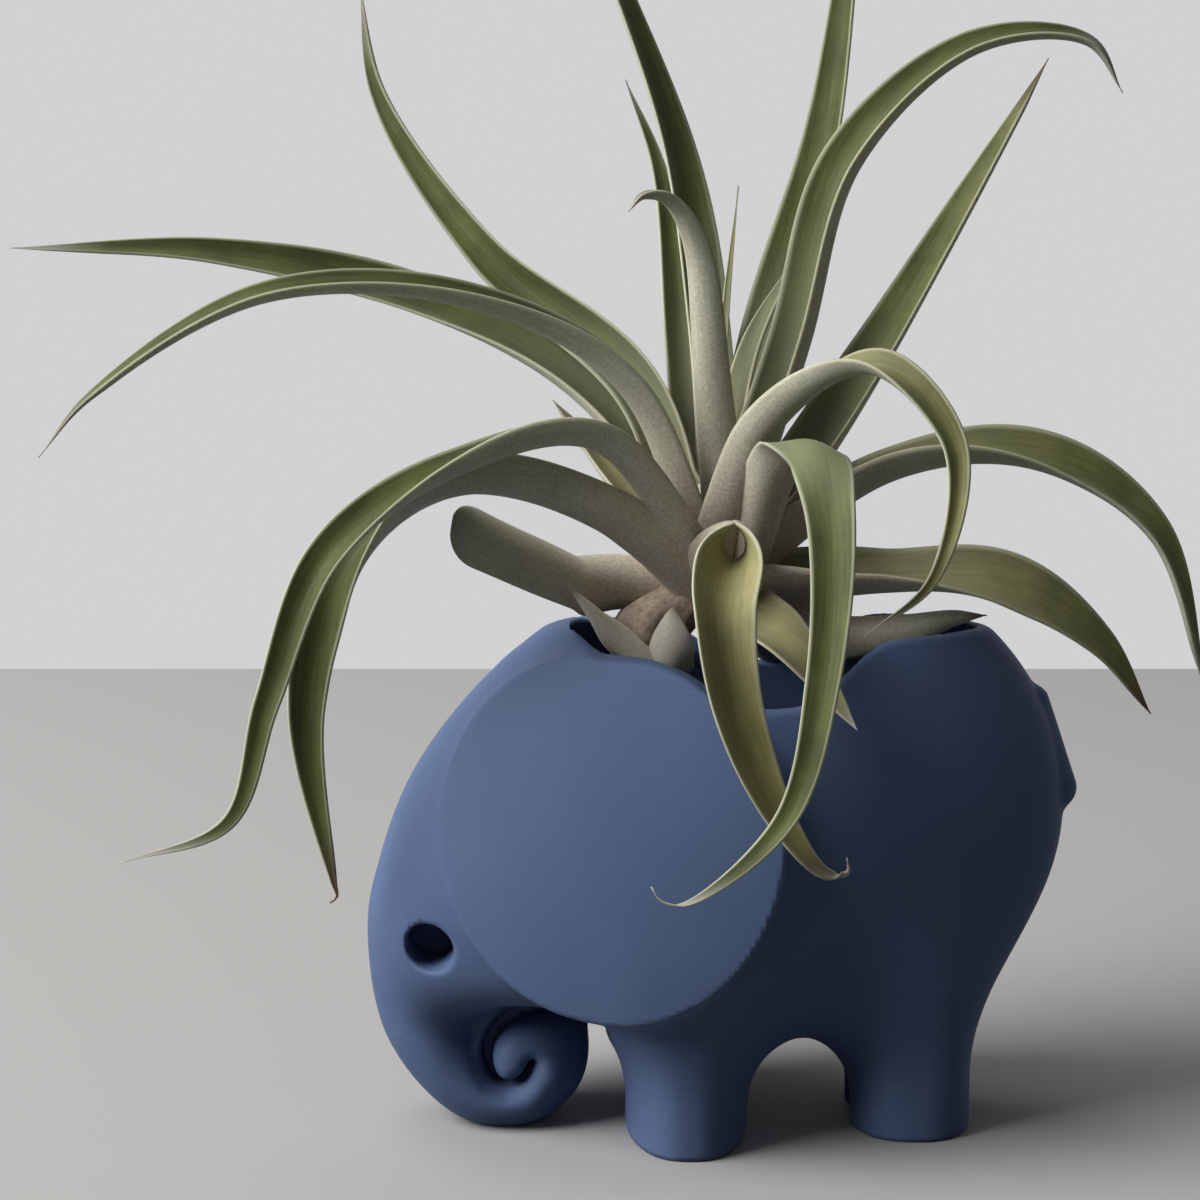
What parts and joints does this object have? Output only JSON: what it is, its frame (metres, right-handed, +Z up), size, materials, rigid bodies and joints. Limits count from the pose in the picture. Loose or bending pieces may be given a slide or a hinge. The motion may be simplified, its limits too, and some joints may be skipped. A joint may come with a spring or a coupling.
{
  "type": "elephant planter with air plant",
  "caption": "Open-topped pot in the shape of a standing elephant with a curled trunk and ear discs, holding a loose air plant whose leaves arch over the rim.",
  "frame": {"origin": "on the ground under the plant's stem, in the middle of the pot's opening", "axes": "+Z up, -X the way the elephant faces, +Y its right side"},
  "size_m": [0.1738, 0.1049, 0.1943],
  "materials": {
    "slate_plastic": "matte slate blue, fine horizontal layer lines",
    "leaf": "green leaf with silvery scales on its outer side",
    "sheath": "dry pale leaf sheath",
    "stem": "brown scurfy old leaf bases"
  },
  "bodies": {
    "planter": {"planter_shell": "slate_plastic"},
    "air_plant": {"plant_stem": "stem", "leaf_left_long": "leaf", "leaf_left_droop": "leaf", "leaf_upper_left": "leaf", "leaf_top_left": "leaf", "leaf_top_back": "leaf", "leaf_curled": "leaf", "leaf_thin": "leaf", "leaf_top_right": "leaf", "leaf_right_arch": "leaf", "leaf_right_inner": "leaf", "leaf_upper_right": "leaf", "leaf_front_arch": "leaf", "leaf_right_long": "leaf", "leaf_right_low": "leaf", "leaf_rear_rim": "leaf", "leaf_left_arch": "leaf", "leaf_left_second": "leaf", "leaf_left_blunt": "leaf", "leaf_front_left": "leaf", "leaf_front_right": "leaf", "leaf_front_rim": "leaf", "leaf_back_left": "leaf", "leaf_far_left": "leaf", "leaf_far_middle": "leaf", "leaf_far_right": "leaf", "sheath_left": "sheath", "sheath_front": "sheath"}
  },
  "joints": [
    {"name": "plant_lift", "type": "slide", "parent": "planter", "child": "air_plant", "axis": [0, 0, 1], "range_m": [0, 0.06]}
  ]
}
